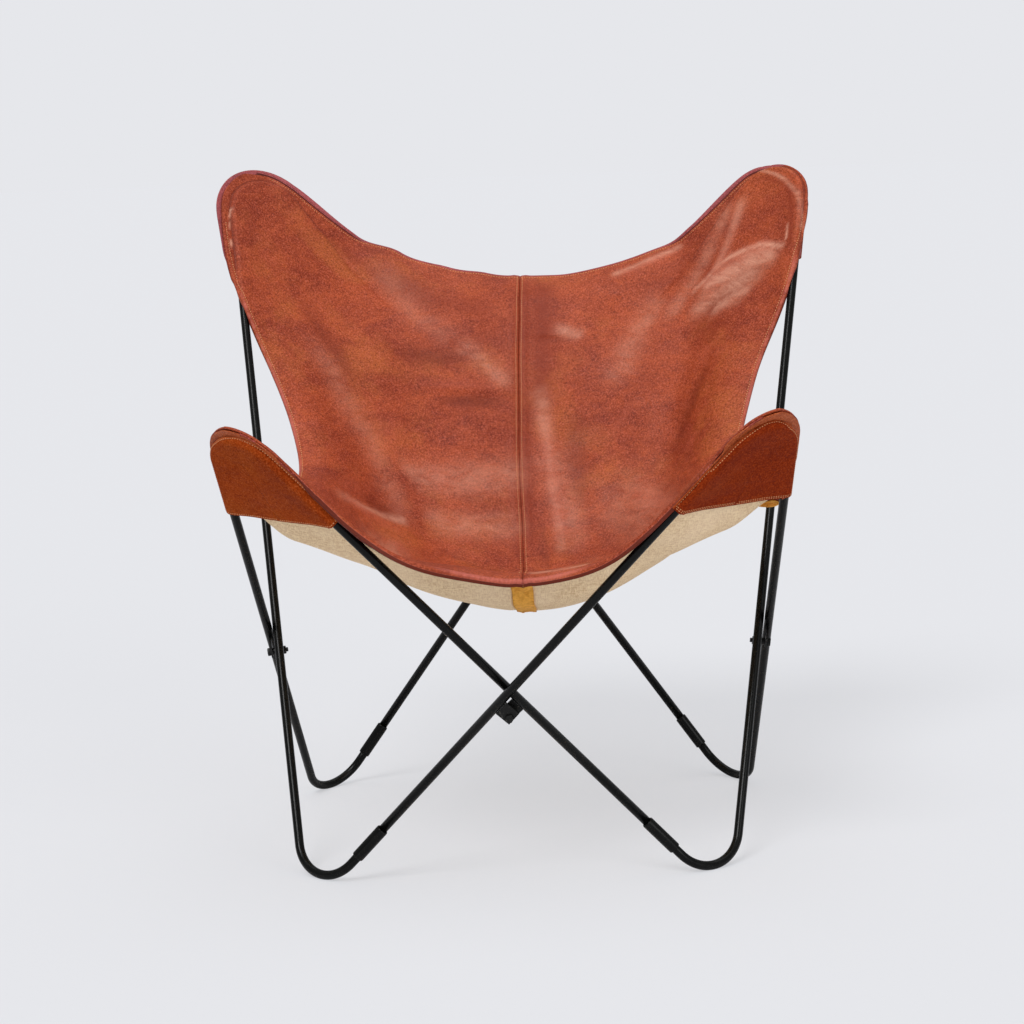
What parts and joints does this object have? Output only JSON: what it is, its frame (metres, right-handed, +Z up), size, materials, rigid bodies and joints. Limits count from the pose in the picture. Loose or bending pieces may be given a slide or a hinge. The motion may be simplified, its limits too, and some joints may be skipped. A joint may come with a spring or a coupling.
{
  "type": "lounge chair",
  "caption": "Butterfly lounge chair: a leather sling hung by corner pockets on interlocking bent steel rod loops, bolted together where the rods cross.",
  "frame": {"origin": "on the floor, under the middle of the whole chair seen from above", "axes": "+Z up; the chair faces -Y, so a sitter looks along -Y; +X is the right-hand side as seen from the front"},
  "size_m": [0.8642, 0.7784, 0.912],
  "materials": {
    "rod": "satin black powder coat",
    "hardware": "satin black, hex edges slightly worn",
    "leather": "waxed red-brown hide with soft creases",
    "pocket": "darker matt hide on the corner pockets",
    "canvas": "cream cotton canvas",
    "strap": "pale tan strap"
  },
  "bodies": {
    "root": {"rod_front_left": "rod", "rod_front_right": "rod", "rod_back_left": "rod", "rod_back_right": "rod", "sleeve_front_left": "rod", "sleeve_front_right": "rod", "sleeve_back_left": "rod", "sleeve_back_right": "rod", "tab_outer_front": "hardware", "tab_inner_front": "hardware", "bolt_front": "hardware", "nut_front": "hardware", "spacer_front": "hardware", "tab_outer_back": "hardware", "tab_inner_back": "hardware", "bolt_back": "hardware", "nut_back": "hardware", "spacer_back": "hardware", "tab_outer_left": "hardware", "tab_inner_left": "hardware", "bolt_left": "hardware", "nut_left": "hardware", "spacer_left": "hardware", "tab_outer_right": "hardware", "tab_inner_right": "hardware", "bolt_right": "hardware", "nut_right": "hardware", "spacer_right": "hardware", "leather_panel_left": "leather", "leather_panel_right": "leather", "lining_left": "canvas", "lining_right": "canvas", "centre_strip": "strap", "facing_top": "leather", "facing_front": "leather", "facing_left": "leather", "facing_right": "leather", "reinforcement_left": "strap", "reinforcement_right": "strap", "pocket_front_left": "pocket", "pocket_front_right": "pocket", "pocket_back_left": "pocket", "pocket_back_right": "pocket"}
  },
  "joints": []
}
